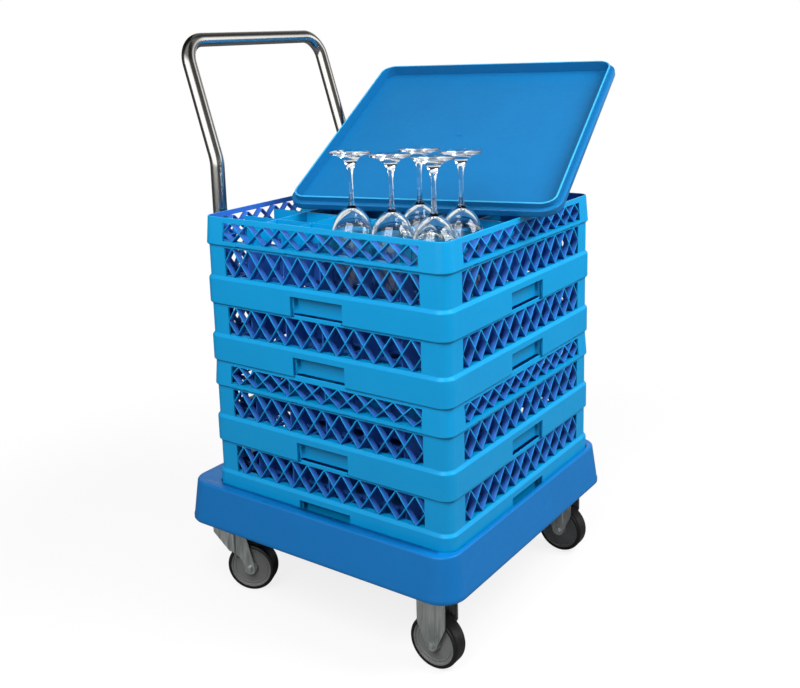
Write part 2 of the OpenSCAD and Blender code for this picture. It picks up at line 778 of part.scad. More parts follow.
// Inverted stemmed glass turned about Z, standing on its mouth
module glass(i) {
    bowl = [[mouth_r, 0], [belly_r, bowl_h * 0.45], [belly_r, bowl_h * 0.94], [stem_r + 1.5, bowl_h]];
    inside = [[mouth_r - glass_t, 0], [belly_r - glass_t, bowl_h * 0.45],
        [belly_r - glass_t, bowl_h * 0.92], [0, bowl_h - 3]];
    top = glass_h - foot_t;
    foot = [[stem_r, top - 16], [stem_r, top - 4], [foot_r * 0.5, top - 1], [foot_r, top]];
    color("#dfe9ee", 0.4) translate([rack_x + glass_cells[i][0] * cell, glass_cells[i][1] * cell, glass_z])
        rotate_extrude() polygon(concat(
            [for (t = [0:1 / 14:1]) curve(bowl, t)],
            [[stem_r, bowl_h + 6]],
            [for (t = [0:1 / 8:1]) curve(foot, t)],
            [[foot_r, glass_h - 1], [foot_r - 1.5, glass_h], [0, glass_h]],
            [for (t = [1:-1 / 14:-eps]) curve(inside, max(t, 0))]
        ));
}

tray();
handle();
castor_screws();
at_swivel(-1) swivel_plate();  // swivel_left_plate
at_swivel(-1) kingpin();  // swivel_left_kingpin
at_turned(-1) race_balls();  // swivel_left_balls
at_turned(-1) swivel_fork();  // swivel_left_fork
at_swivel_axle(-1) axle_bolt();  // swivel_left_axle
at_swivel_axle(-1) axle_nut();  // swivel_left_nut
at_swivel_axle(-1) axle_bush();  // swivel_left_bush
at_swivel_axle(-1) wheel_core();  // swivel_left_core
at_swivel_axle(-1) tyre();  // swivel_left_tyre
at_swivel(1) swivel_plate();  // swivel_right_plate
at_swivel(1) kingpin();  // swivel_right_kingpin
at_turned(1) race_balls();  // swivel_right_balls
at_turned(1) swivel_fork();  // swivel_right_fork
at_swivel_axle(1) axle_bolt();  // swivel_right_axle
at_swivel_axle(1) axle_nut();  // swivel_right_nut
at_swivel_axle(1) axle_bush();  // swivel_right_bush
at_swivel_axle(1) wheel_core();  // swivel_right_core
at_swivel_axle(1) tyre();  // swivel_right_tyre
at_fixed(-1) fixed_fork();  // fixed_left_fork
at_fixed_axle(-1) axle_bolt();  // fixed_left_axle
at_fixed_axle(-1) axle_nut();  // fixed_left_nut
at_fixed_axle(-1) axle_bush();  // fixed_left_bush
at_fixed_axle(-1) wheel_core();  // fixed_left_core
at_fixed_axle(-1) tyre();  // fixed_left_tyre
at_fixed(1) fixed_fork();  // fixed_right_fork
at_fixed_axle(1) axle_bolt();  // fixed_right_axle
at_fixed_axle(1) axle_nut();  // fixed_right_nut
at_fixed_axle(1) axle_bush();  // fixed_right_bush
at_fixed_axle(1) wheel_core();  // fixed_right_core
at_fixed_axle(1) tyre();  // fixed_right_tyre
at_stack(rack_1_z) rack_frame();  // rack_1_frame
at_stack(rack_1_z) rack_lattice();  // rack_1_lattice
at_stack(rack_1_z) rack_grid();  // rack_1_grid
at_stack(rack_2_z) rack_frame();  // rack_2_frame
at_stack(rack_2_z) rack_lattice();  // rack_2_lattice
at_stack(rack_2_z) rack_grid();  // rack_2_grid
at_stack(ext_2_z) extender_frame();  // extender_2_frame
at_stack(ext_2_z) extender_lattice();  // extender_2_lattice
at_stack(ext_2_z) extender_dividers();  // extender_2_dividers
at_stack(rack_3_z) rack_frame();  // rack_3_frame
at_stack(rack_3_z) rack_lattice();  // rack_3_lattice
at_stack(rack_3_z) rack_grid();  // rack_3_grid
at_stack(rack_4_z) rack_frame();  // rack_4_frame
at_stack(rack_4_z) rack_lattice();  // rack_4_lattice
at_stack(rack_4_z) rack_grid();  // rack_4_grid
at_stack(ext_4_z) extender_frame();  // extender_4_frame
at_stack(ext_4_z) extender_lattice();  // extender_4_lattice
at_stack(ext_4_z) extender_dividers();  // extender_4_dividers
lid();
glass(0);  // glass_1
glass(1);  // glass_2
glass(2);  // glass_3
glass(3);  // glass_4
glass(4);  // glass_5
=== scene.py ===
"""Glass rack dolly: a tray on four castors with a bent steel handle, carrying four glass racks,
two extenders, a loose lid and five stemmed glasses. Metres, in the frame of the CAD parts."""

import json
import math

import bmesh
import bpy
from mathutils import Matrix, Vector

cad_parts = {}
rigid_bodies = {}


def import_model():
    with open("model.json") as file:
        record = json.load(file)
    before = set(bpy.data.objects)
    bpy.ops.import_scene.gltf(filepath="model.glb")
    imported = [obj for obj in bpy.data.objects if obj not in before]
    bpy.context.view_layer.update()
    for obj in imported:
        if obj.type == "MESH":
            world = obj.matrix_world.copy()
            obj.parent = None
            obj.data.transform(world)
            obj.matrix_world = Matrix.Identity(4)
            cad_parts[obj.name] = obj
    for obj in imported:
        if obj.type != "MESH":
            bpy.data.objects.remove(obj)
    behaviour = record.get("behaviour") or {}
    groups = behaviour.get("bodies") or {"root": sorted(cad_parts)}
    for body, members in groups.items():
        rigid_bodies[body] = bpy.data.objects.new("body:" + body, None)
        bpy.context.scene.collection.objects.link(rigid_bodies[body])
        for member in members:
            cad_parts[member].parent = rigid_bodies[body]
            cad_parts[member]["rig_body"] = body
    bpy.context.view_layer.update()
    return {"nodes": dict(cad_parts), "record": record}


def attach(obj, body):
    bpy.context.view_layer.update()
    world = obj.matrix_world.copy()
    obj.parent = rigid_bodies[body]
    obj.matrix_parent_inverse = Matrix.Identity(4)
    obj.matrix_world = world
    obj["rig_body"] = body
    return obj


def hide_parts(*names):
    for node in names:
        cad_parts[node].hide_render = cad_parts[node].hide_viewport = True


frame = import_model()
scene = bpy.context.scene
nodes = frame["nodes"]
MM = 0.001

# Tiers of the stack from below
TIERS = ("rack_1", "rack_2", "extender_2", "rack_3", "rack_4", "extender_4")

# Lattice, in millimetres: diamonds in a row, thickness of a strand, half the width of a window,
# distance from the rack's middle to the backs of the strands, easing of their edges
DIAMONDS, STRAND, WINDOW_HALF, LATTICE_BACK, STRAND_EASE = 11, 2.0, 199.9, 235.1, 0.4

# Lid, in millimetres: depth of the band along its rim that is painted paler as a highlight
RIM_HIGHLIGHT = 2.5

# Handle, in millimetres: tube diameter, lean of its upper part in degrees, bend radii of kink and grip
TUBE, LEAN, KINK_ROUND, GRIP_ROUND = 25, 17.2, 70, 42

# Wheel core, in millimetres: its section from bore to tyre, as radius and distance from the wheel's middle
CORE_SECTION = [(6.1, 17.5), (11, 17.5), (12.6, 16.9), (13.2, 15.4), (14.5, 11.8), (30, 10.6),
                (30.8, 11.6), (32.2, 11.6), (33, 10.8), (35, 11), (36.2, 13.1), (38.45, 13.5)]

# Glass, in millimetres: heights of the glass and its bowl; radii of mouth, belly curve, foot and stem;
# thicknesses of wall, bowl bottom and foot; height of the lip's round, what the knot adds to the stem,
# length of the foot's taper
GLASS_H, BOWL_H = 225, 137
MOUTH_R, BELLY_R, FOOT_R, STEM_R = 30.97, 41.77, 32.97, 3.6
WALL_T, BOTTOM_T, FOOT_T = 1.3, 5, 2.4
LIP_H, KNOT, TAPER = 0.6, 3, 46

# Sides of a turned piece, and steps along the curves of a glass
SIDES, BOWL_STEPS, FOOT_STEPS, LIP_STEPS = 64, 24, 12, 6

# Edges that turn more than CRISP stay crisp, facets that turn less than FLAT are joined into one face
CRISP, FLAT = math.radians(35), math.radians(0.4)

# Points closer than this, in metres, become one: in a CAD piece and in a lattice
CAD_WELD, LATTICE_WELD = 2e-6, 1e-6

# A face looks in or out of a rack where this share of its normal points there
FACING = 0.3


def box(node):
    """Lowest and highest corner of a CAD node, in millimetres."""
    places = [nodes[node].matrix_world @ Vector(corner) / MM for corner in nodes[node].bound_box]
    return [Vector(pick(place[axis] for place in places) for axis in range(3)) for pick in (min, max)]


def add(tree, kind, inputs=None, **settings):
    """A node with its settings; an input takes a value, a socket to link, or a list of sockets."""
    node = tree.nodes.new(kind)
    for key, value in settings.items():
        setattr(node, key, value)
    for key, value in (inputs or {}).items():
        for given in value if isinstance(value, list) else [value]:
            if isinstance(given, bpy.types.NodeSocket):
                tree.links.new(given, node.inputs[key])
            else:
                node.inputs[key].default_value = given
    return node


def paint(code):
    """Linear colour of an sRGB hex code."""
    parts = [int(code[i:i + 2], 16) / 255 for i in (1, 3, 5)]
    return tuple(c / 12.92 if c <= 0.04045 else ((c + 0.055) / 1.055) ** 2.4 for c in parts) + (1.0,)


def new_surface(name):
    """An empty material and its node tree, with the place on the piece in metres."""
    material = bpy.data.materials.new(name)
    material.use_nodes = True
    tree = material.node_tree
    tree.nodes.clear()
    return material, tree, add(tree, "ShaderNodeTexCoord").outputs["Object"]


def blend(tree, share, one, other):
    """Colour between two others, by a share from 0 to 1."""
    return add(tree, "ShaderNodeMix", {0: share, 6: one, 7: other}, data_type="RGBA").outputs[2]


def uneven(tree, noise, low, high):
    """A value that follows the middle part of a noise from low to high."""
    return add(tree, "ShaderNodeMapRange", {
        "Value": noise.outputs["Fac"], "From Min": 0.3, "From Max": 0.7,
        "To Min": low, "To Max": high}).outputs["Result"]


def moulded_plastic(name, deep, pale, smooth, rough):
    """Injection moulded polypropylene: flow clouds, uneven gloss, mould grain, faint handling scuffs."""
    material, tree, place = new_surface(name)
    clouds = add(tree, "ShaderNodeTexNoise", {"Vector": place, "Scale": 14, "Detail": 3, "Roughness": 0.55})
    tint = blend(tree, clouds.outputs["Fac"], paint(deep), paint(pale))
    drawn = add(tree, "ShaderNodeMapping", {
        "Vector": place, "Scale": (40, 40, 900), "Rotation": (0.2, 0.1, 0.3)})
    scuffs = add(tree, "ShaderNodeTexNoise", {"Vector": drawn.outputs["Vector"], "Scale": 1, "Detail": 4})
    rubbed = add(tree, "ShaderNodeMapRange", {
        "Value": scuffs.outputs["Fac"], "From Min": 0.62, "From Max": 0.8, "To Min": 0.0, "To Max": 0.04})
    worn = blend(tree, rubbed.outputs["Result"], tint, paint("#8cc9ee"))
    patches = add(tree, "ShaderNodeTexNoise", {"Vector": place, "Scale": 90, "Detail": 4})
    grain = add(tree, "ShaderNodeTexNoise", {"Vector": place, "Scale": 1300, "Detail": 2})
    relief = add(tree, "ShaderNodeBump", {
        "Height": grain.outputs["Fac"], "Strength": 0.12, "Distance": 0.00012})
    shader = add(tree, "ShaderNodeBsdfPrincipled", {
        "Base Color": worn, "Roughness": uneven(tree, patches, smooth, rough), "IOR": 1.49,
        "Normal": relief.outputs["Normal"]})
    add(tree, "ShaderNodeOutputMaterial", {"Surface": shader.outputs["BSDF"]})
    return material


def worked_metal(name, dark, light, smooth, rough, grain_mm, stretch):
    """Metal with tone and gloss that vary in a grain of the given size, stretched along Z."""
    material, tree, place = new_surface(name)
    fine = 1000 / grain_mm
    drawn = add(tree, "ShaderNodeMapping", {"Vector": place, "Scale": (fine, fine, fine / stretch)})
    grain = add(tree, "ShaderNodeTexNoise", {"Vector": drawn.outputs["Vector"], "Scale": 1, "Detail": 5})
    relief = add(tree, "ShaderNodeBump", {
        "Height": grain.outputs["Fac"], "Strength": 0.06, "Distance": 0.0001})
    shader = add(tree, "ShaderNodeBsdfPrincipled", {
        "Base Color": blend(tree, grain.outputs["Fac"], paint(dark), paint(light)), "Metallic": 1.0,
        "Roughness": uneven(tree, grain, smooth, rough), "Normal": relief.outputs["Normal"]})
    add(tree, "ShaderNodeOutputMaterial", {"Surface": shader.outputs["BSDF"]})
    return material


def dull_compound(name, dark, light, smooth, rough, grain_mm, ior):
    """Rubber or filled nylon: mottled dark tone, dusty gloss, a matt moulded skin."""
    material, tree, place = new_surface(name)
    mottle = add(tree, "ShaderNodeTexNoise", {"Vector": place, "Scale": 60, "Detail": 5})
    skin = add(tree, "ShaderNodeTexNoise", {"Vector": place, "Scale": 1000 / grain_mm, "Detail": 3})
    relief = add(tree, "ShaderNodeBump", {
        "Height": skin.outputs["Fac"], "Strength": 0.25, "Distance": 0.0002})
    shader = add(tree, "ShaderNodeBsdfPrincipled", {
        "Base Color": blend(tree, mottle.outputs["Fac"], paint(dark), paint(light)), "IOR": ior,
        "Roughness": uneven(tree, mottle, smooth, rough), "Normal": relief.outputs["Normal"]})
    add(tree, "ShaderNodeOutputMaterial", {"Surface": shader.outputs["BSDF"]})
    return material


def blown_glass():
    """Clear soda-lime glass with the faint waves of blowing and a trace of dried water."""
    material, tree, place = new_surface("soda-lime glass clear")
    waves = add(tree, "ShaderNodeTexNoise", {"Vector": place, "Scale": 45, "Detail": 1})
    relief = add(tree, "ShaderNodeBump", {
        "Height": waves.outputs["Fac"], "Strength": 0.05, "Distance": 0.001})
    traces = add(tree, "ShaderNodeTexNoise", {"Vector": place, "Scale": 160, "Detail": 3})
    film = add(tree, "ShaderNodeMapRange", {
        "Value": traces.outputs["Fac"], "From Min": 0.45, "From Max": 0.75, "To Min": 0.0, "To Max": 0.03})
    shader = add(tree, "ShaderNodeBsdfPrincipled", {
        "Base Color": paint("#f7fbfb"), "Roughness": film.outputs["Result"], "IOR": 1.52,
        "Transmission Weight": 1.0, "Normal": relief.outputs["Normal"]})
    add(tree, "ShaderNodeOutputMaterial", {"Surface": shader.outputs["BSDF"]})
    return material


SURFACES = {
    # Outer faces of the racks, and a violet blue painted as shade on their inner faces, strand sides and
    # floor grids
    "rack_blue": moulded_plastic("polypropylene rack azure moulded", "#028bc5", "#0393cd", 0.34, 0.46),
    # Violet blue painted as shade, for faces that lie deep in the racks
    "rack_painted_shade": moulded_plastic(
        "polypropylene rack violet blue painted shade", "#2a5eb4", "#3266bc", 0.4, 0.54),
    # Tray and lid, and a paler blue painted as a highlight on the top of the lid's rim
    "tray_blue": moulded_plastic("polypropylene tray deep blue moulded", "#0467ac", "#056eb3", 0.34, 0.46),
    "lid_blue": moulded_plastic("polypropylene lid blue moulded", "#0e6096", "#11689e", 0.32, 0.42),
    # Paler blue painted as a highlight along the lid's rim
    "lid_painted_highlight": moulded_plastic("polypropylene lid rim painted highlight", "#2b94c4", "#3ba0cc", 0.34, 0.46),
    # Handle tube; castor plates, forks, bolts and screws; bushes and balls
    "polished_steel": worked_metal(
        "stainless steel tube polished", "#c6c4bf", "#d8d6d1", 0.17, 0.23, 0.4, 60),
    "zinc_steel": worked_metal("steel sheet zinc plated", "#8b9793", "#fbfefc", 0.32, 0.52, 5, 8),
    "bright_steel": worked_metal("steel turned bright", "#a9abaa", "#c4c5c3", 0.18, 0.3, 1.5, 1),
    # Wheels
    "core_grey": dull_compound(
        "nylon wheel core grey moulded", "#6a6b6b", "#787979", 0.34, 0.48, 0.9, 1.53),
    "tyre_black": dull_compound("rubber tyre black", "#050506", "#09090a", 0.36, 0.5, 1.4, 1.52),
    # Glasses
    "clear_glass": blown_glass(),
}
slot_of = {part["node"]: part["material_slot"] for part in frame["record"]["subparts"]}


def place_piece(name, mesh, node, *finishes):
    """Puts a mesh in place of a CAD node, on its body and in its finish unless others are named."""
    piece = bpy.data.objects.new(name, mesh)
    scene.collection.objects.link(piece)
    for place, finish in enumerate(finishes or [slot_of[node]]):
        if place == len(mesh.materials):
            mesh.materials.append(SURFACES[finish])
        mesh.materials[place] = SURFACES[finish]
    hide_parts(node)
    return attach(piece, nodes[node]["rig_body"])


def worked(mesh, kind, settings, sockets=None):
    """The mesh with a modifier worked into it."""
    helper = bpy.data.objects.new("helper", mesh)
    scene.collection.objects.link(helper)
    modifier = helper.modifiers.new(kind, kind)
    for key, value in settings.items():
        setattr(modifier, key, value)
    for key, value in (sockets or {}).items():
        modifier[key] = value
    graph = bpy.context.evaluated_depsgraph_get()
    finished = bpy.data.meshes.new_from_object(
        helper.evaluated_get(graph), preserve_all_data_layers=True, depsgraph=graph)
    bpy.data.objects.remove(helper)
    return finished


def softened(node):
    """A copy of a CAD node with its facets joined, its rounds shaded smooth and its flats flat."""
    mesh = nodes[node].data.copy()
    work = bmesh.new()
    work.from_mesh(mesh)
    bmesh.ops.remove_doubles(work, verts=work.verts, dist=CAD_WELD)
    bmesh.ops.dissolve_limit(work, angle_limit=FLAT, verts=work.verts[:], edges=work.edges[:])
    bmesh.ops.recalc_face_normals(work, faces=work.faces)
    work.to_mesh(mesh)
    work.free()
    mesh.shade_smooth()
    mesh.set_sharp_from_angle(angle=CRISP)
    return worked(mesh, "WEIGHTED_NORMAL", {"keep_sharp": True, "weight": 50})


def mark_painted_shade(mesh, node):
    """Marks the inner faces of a rack frame for the second finish, a violet blue painted as shade."""
    low, top = box(node)
    for face in mesh.polygons:
        out = face.center / MM - (low + top) / 2
        main = 0 if abs(out.x) > abs(out.y) else 1
        # Faces that point into the rack get the violet blue painted as shade
        face.material_index = 1 if face.normal[main] * math.copysign(1, out[main]) < -FACING else 0
    return mesh


def mark_painted_highlight(mesh):
    """Marks the top of the lid's rim, measured square to its plate, for the second finish, a paler blue
    painted as a highlight.
    """
    plate = max(mesh.polygons, key=lambda face: face.area * (face.normal.z > 0))
    heights = [(face.center - plate.center).dot(plate.normal) / MM for face in mesh.polygons]
    for face, height in zip(mesh.polygons, heights):
        face.material_index = 1 if height > max(heights) - RIM_HIGHLIGHT else 0
    return mesh


def lathe(profile):
    """A mesh turned about Z from (radius, height) points in millimetres; a radius of 0 closes it."""
    work = bmesh.new()
    rings = []
    for radius, height in profile:
        turns = [math.tau * k / SIDES for k in range(SIDES if radius else 1)]
        places = [(radius * MM * math.cos(turn), radius * MM * math.sin(turn), height * MM)
                  for turn in turns]
        rings.append([work.verts.new(place) for place in places])
    for low, high in zip(rings, rings[1:]):
        for k in range(SIDES):
            corners = [low[k % len(low)], low[(k + 1) % len(low)],
                       high[(k + 1) % len(high)], high[k % len(high)]]
            corners = list(dict.fromkeys(corners))
            if len(corners) > 2:
                work.faces.new(corners)
    bmesh.ops.recalc_face_normals(work, faces=work.faces)
    mesh = bpy.data.meshes.new("turned")
    work.to_mesh(mesh)
    work.free()
    mesh.shade_smooth()
    return mesh


def bezier(points, t):
    """Place on a curve with four control points."""
    a, b, c, d = (Vector(p) for p in points)
    return tuple((1 - t) ** 3 * a + 3 * t * (1 - t) ** 2 * b + 3 * t * t * (1 - t) * c + t ** 3 * d)


def new_tree(name, sockets):
    """A Geometry Nodes tree with named inputs; gives the tree, its input sockets and their identifiers."""
    tree = bpy.data.node_groups.new(name, "GeometryNodeTree")
    tree.interface.new_socket("Geometry", in_out="INPUT", socket_type="NodeSocketGeometry")
    ids = {}
    for title, kind in sockets.items():
        socket = tree.interface.new_socket(title, in_out="INPUT", socket_type="NodeSocket" + kind)
        ids[title] = socket.identifier
    tree.interface.new_socket("Geometry", in_out="OUTPUT", socket_type="NodeSocketGeometry")
    return tree, add(tree, "NodeGroupInput").outputs, ids


def times(tree, value, factor):
    """Product of two values or sockets."""
    return add(tree, "ShaderNodeMath", {0: value, 1: factor}, operation="MULTIPLY").outputs[0]


def vector(tree, **parts):
    """A vector with the given parts."""
    return add(tree, "ShaderNodeCombineXYZ", parts).outputs[0]


def lattice_maker():
    """Tree that fills a window with crossing strands and repeats it on the four sides of a rack."""
    tree, given, ids = new_tree("Diamond lattice", {
        "Width": "Float", "Height": "Float", "Step": "Float", "Lean": "Float", "Strand": "Float",
        "Depth": "Float", "Reach": "Float", "Round": "Float", "Strands": "Int", "Start": "Vector",
        "Middle": "Vector", "Material": "Material"})
    path = add(tree, "GeometryNodeCurvePrimitiveLine", {
        "Start": vector(tree, X=times(tree, given["Reach"], -0.5)),
        "End": vector(tree, X=times(tree, given["Reach"], 0.5))})
    section = add(tree, "GeometryNodeCurvePrimitiveQuadrilateral", {
        "Width": given["Depth"], "Height": given["Strand"]})
    eased = add(tree, "GeometryNodeFilletCurve", {
        "Curve": section.outputs[0], "Radius": given["Round"], "Count": 2}, mode="POLY")
    strand = add(tree, "GeometryNodeCurveToMesh", {
        "Curve": path.outputs[0], "Profile Curve": eased.outputs[0], "Fill Caps": True})
    row = add(tree, "GeometryNodeMeshLine", {
        "Count": given["Strands"], "Start Location": given["Start"],
        "Offset": vector(tree, X=given["Step"])}, mode="OFFSET")
    leaning = [add(tree, "GeometryNodeInstanceOnPoints", {
        "Points": row.outputs[0], "Instance": strand.outputs[0],
        "Rotation": vector(tree, Y=lean)}).outputs[0]
        for lean in (given["Lean"], times(tree, given["Lean"], -1.0))]
    deeper_than_strands = 0.1
    window = add(tree, "GeometryNodeMeshCube", {
        "Size": vector(tree, X=given["Width"], Y=deeper_than_strands, Z=given["Height"])})
    crossed = add(tree, "GeometryNodeRealizeInstances", {
        "Geometry": add(tree, "GeometryNodeJoinGeometry", {"Geometry": leaning}).outputs[0]})
    cut = add(tree, "GeometryNodeMeshBoolean", {
        1: [crossed.outputs[0], window.outputs[0]], "Self Intersection": True},
        operation="INTERSECT", solver="EXACT")
    panel = add(tree, "GeometryNodeTransform", {"Geometry": cut.outputs[0], "Translation": given["Middle"]})
    sides = add(tree, "GeometryNodeMeshLine", {"Count": 4, "Offset": (0.0, 0.0, 0.0)}, mode="OFFSET")
    turn = times(tree, add(tree, "GeometryNodeInputIndex").outputs[0], math.pi / 2)
    around = add(tree, "GeometryNodeInstanceOnPoints", {
        "Points": sides.outputs[0], "Instance": panel.outputs[0], "Rotation": vector(tree, Z=turn)})
    solid = add(tree, "GeometryNodeRealizeInstances", {"Geometry": around.outputs[0]})
    finish = add(tree, "GeometryNodeSetMaterial", {
        "Geometry": solid.outputs[0], "Material": given["Material"]})
    add(tree, "NodeGroupOutput", {"Geometry": finish.outputs[0]})
    return tree, ids


LATTICE, LATTICE_IDS = lattice_maker()


def lattice(node):
    """Lattice of a rack or extender, about the middle of its windows; its fronts get the first finish, the
    sides and backs of its strands the second, a violet blue painted as shade.
    """
    low, top = box(node)
    high, reach = top.z - low.z, (top.x - low.x) / 2
    over, depth = STRAND / 3, reach - LATTICE_BACK
    step, rise = 2 * (WINDOW_HALF + over) / DIAMONDS, high + 2 * over
    values = {
        "Width": 2 * WINDOW_HALF * MM, "Height": high * MM, "Step": step * MM,
        "Lean": math.atan2(rise, step), "Strand": STRAND * MM, "Depth": depth * MM,
        "Reach": (math.hypot(step, rise) + 2 * STRAND) * MM, "Round": STRAND_EASE * MM,
        "Strands": DIAMONDS + 1, "Start": (-(WINDOW_HALF + over) * MM, 0, 0),
        "Middle": (0, (depth / 2 - reach) * MM, 0), "Material": SURFACES["rack_blue"]}
    mesh = worked(bpy.data.meshes.new("lattice"), "NODES", {"node_group": LATTICE},
                  {LATTICE_IDS[key]: value for key, value in values.items()})
    work = bmesh.new()
    work.from_mesh(mesh)
    bmesh.ops.remove_doubles(work, verts=work.verts, dist=LATTICE_WELD)
    bmesh.ops.recalc_face_normals(work, faces=work.faces)
    for face in work.faces:
        out = face.calc_center_median()
        out = Vector((out.x, 0, 0)) if abs(out.x) > abs(out.y) else Vector((0, out.y, 0))
        # Faces that do not face outward get the violet blue painted as shade
        face.material_index = 0 if face.normal.dot(out.normalized()) > FACING else 1
    work.to_mesh(mesh)
    work.free()
    return mesh


def bent_tube(corners):
    """A tube along straight lengths between corners, each a place and a bend radius in millimetres."""
    tree, given, ids = new_tree("Bent tube", {"Tube radius": "Float", "Material": "Material"})
    lengths = add(tree, "GeometryNodeMeshToCurve", {"Mesh": given["Geometry"]})
    bend = add(tree, "GeometryNodeInputNamedAttribute", {"Name": "bend"}, data_type="FLOAT")
    bent = add(tree, "GeometryNodeFilletCurve", {
        "Curve": lengths.outputs[0], "Radius": bend.outputs[0], "Count": 14}, mode="POLY")
    ring = add(tree, "GeometryNodeCurvePrimitiveCircle", {"Resolution": 40, "Radius": given["Tube radius"]})
    tube = add(tree, "GeometryNodeCurveToMesh", {
        "Curve": bent.outputs[0], "Profile Curve": ring.outputs[0], "Fill Caps": True})
    smooth = add(tree, "GeometryNodeSetShadeSmooth", {"Geometry": tube.outputs[0]})
    finish = add(tree, "GeometryNodeSetMaterial", {
        "Geometry": smooth.outputs[0], "Material": given["Material"]})
    add(tree, "NodeGroupOutput", {"Geometry": finish.outputs[0]})
    path = bpy.data.meshes.new("path")
    lines = [(k, k + 1) for k in range(len(corners) - 1)]
    path.from_pydata([Vector(place) * MM for place, _ in corners], lines, [])
    radii = path.attributes.new("bend", "FLOAT", "POINT")
    radii.data.foreach_set("value", [radius * MM for _, radius in corners])
    return worked(path, "NODES", {"node_group": tree}, {
        ids["Tube radius"]: TUBE / 2 * MM, ids["Material"]: SURFACES["polished_steel"]})


def stemmed_glass():
    """Section of a glass that stands on its mouth: hollow, lip, bowl, stem and foot."""
    belly_z, shoulder_z, inner_shoulder_z = BOWL_H * 0.45, BOWL_H * 0.9, BOWL_H * 0.89
    inner_mouth, inner_belly = MOUTH_R - WALL_T, BELLY_R - WALL_T
    hollow = [(inner_mouth, 0), (inner_belly, belly_z), (inner_belly, inner_shoulder_z),
              (0, BOWL_H - BOTTOM_T)]
    bowl = [(MOUTH_R, 0), (BELLY_R, belly_z), (BELLY_R, shoulder_z), (STEM_R + KNOT, BOWL_H)]
    knot = [(STEM_R + 1.6, BOWL_H + 4), (STEM_R + 0.7, BOWL_H + 12), (STEM_R, BOWL_H + 24)]
    foot_z = GLASS_H - FOOT_T
    foot = [(STEM_R - 0.4, foot_z - TAPER), (STEM_R, foot_z - 12), (FOOT_R * 0.4, foot_z - 4),
            (FOOT_R, foot_z)]
    edge = [(FOOT_R, GLASS_H - 1.6), (FOOT_R - 0.4, GLASS_H - 0.6), (FOOT_R - 1.5, GLASS_H), (0, GLASS_H)]
    section = [bezier(hollow, 1 - k / BOWL_STEPS) for k in range(BOWL_STEPS)]
    for turn in (math.pi * k / LIP_STEPS for k in range(LIP_STEPS + 1)):
        section.append((MOUTH_R - WALL_T / 2 * (1 + math.cos(turn)), LIP_H - LIP_H * math.sin(turn)))
    section += [bezier(bowl, k / BOWL_STEPS) for k in range(1, BOWL_STEPS + 1)]
    section += knot
    section += [bezier(foot, k / FOOT_STEPS) for k in range(FOOT_STEPS + 1)]
    section += edge
    return section


# Racks and extenders: frames, lattices, floor grids and divider strips
rack_lattice = lattice("rack_1_lattice")
extender_lattice = lattice("extender_2_lattice")
for tier in TIERS:
    low, top = box(tier + "_lattice")
    strands = (rack_lattice if tier.startswith("rack") else extender_lattice).copy()
    strands.transform(Matrix.Translation((low + top) / 2 * MM))
    # Strand sides and backs, and the inner faces of the frame, take the violet blue painted as shade
    place_piece(tier + "_lattice_strands", strands, tier + "_lattice", "rack_blue", "rack_painted_shade")
    walls = mark_painted_shade(softened(tier + "_frame"), tier + "_frame")
    place_piece(tier + "_frame_moulding", walls, tier + "_frame", "rack_blue", "rack_painted_shade")
    if tier.startswith("rack"):
        # Floor grids take the violet blue painted as shade all over
        place_piece(tier + "_grid_moulding", softened(tier + "_grid"), tier + "_grid", "rack_painted_shade")
    else:
        place_piece(tier + "_dividers_moulding", softened(tier + "_dividers"), tier + "_dividers")

# Tray, lid and castors; balls, bushes and screws keep their solids and only get their finish
place_piece("tray_moulding", softened("tray"), "tray")
# The top of the lid's rim takes a paler blue painted as a highlight
place_piece("lid_moulding", mark_painted_highlight(softened("lid")), "lid", "lid_blue", "lid_painted_highlight")
for node in nodes:
    if node.endswith(("_fork", "_plate", "_nut", "_axle", "_kingpin")):
        place_piece(node + "_metal", softened(node), node)
    elif node.endswith("_tyre"):
        place_piece(node + "_wheel", softened(node), node)
    elif node.endswith(("_balls", "_bush")) or node == "castor_screws":
        nodes[node].data.materials.clear()
        nodes[node].data.materials.append(SURFACES[slot_of[node]])

# Wheel cores: a flat disc with a raised ring, turned about the axle of each wheel
far_half = [(radius, -height) for radius, height in reversed(CORE_SECTION)]
for joint in frame["record"]["behaviour"]["joints"]:
    if joint["name"].endswith("_roll"):
        core = lathe(CORE_SECTION + far_half + CORE_SECTION[:1])
        core.set_sharp_from_angle(angle=CRISP)
        turned = Vector(joint["axis"]).to_track_quat("Z", "Y").to_matrix().to_4x4()
        core.transform(Matrix.Translation(joint["pos_m"]) @ turned)
        kind, _, side, _ = joint["name"].split("_")
        place_piece(f"{kind}_{side}_core_disc", core, f"{kind}_{side}_core")

# Handle: two legs, a kink backwards and the grip bar
low, top = box("handle")
leg_x, leg_y = top.x - TUBE / 2, top.y - TUBE / 2
grip_x, grip_z = low.x + TUBE / 2, top.z - TUBE / 2
kink_z = grip_z - (leg_x - grip_x) / math.tan(math.radians(LEAN))
one_leg = [((leg_x, leg_y, low.z), 0), ((leg_x, leg_y, kink_z), KINK_ROUND),
           ((grip_x, leg_y, grip_z), GRIP_ROUND)]
other_leg = [((x, -y, z), bend) for (x, y, z), bend in reversed(one_leg)]
place_piece("handle_tube", bent_tube(one_leg + other_leg), "handle")

# Glasses standing on their mouths
for name in ("glass_1", "glass_2", "glass_3", "glass_4", "glass_5"):
    low, top = box(name)
    body = lathe(stemmed_glass())
    body.transform(Matrix.Translation(Vector(((low.x + top.x) / 2, (low.y + top.y) / 2, low.z)) * MM))
    place_piece(name + "_blown", body, name)

# Ground: how white it shows, between which distances in metres it turns into plain white,
# half its side and how far it lies below the wheels
GROUND_GLOW, GROUND_NEAR, GROUND_FAR = 0.83, 0.7, 1.3
GROUND_HALF, GROUND_DROP = 9, 0.0005


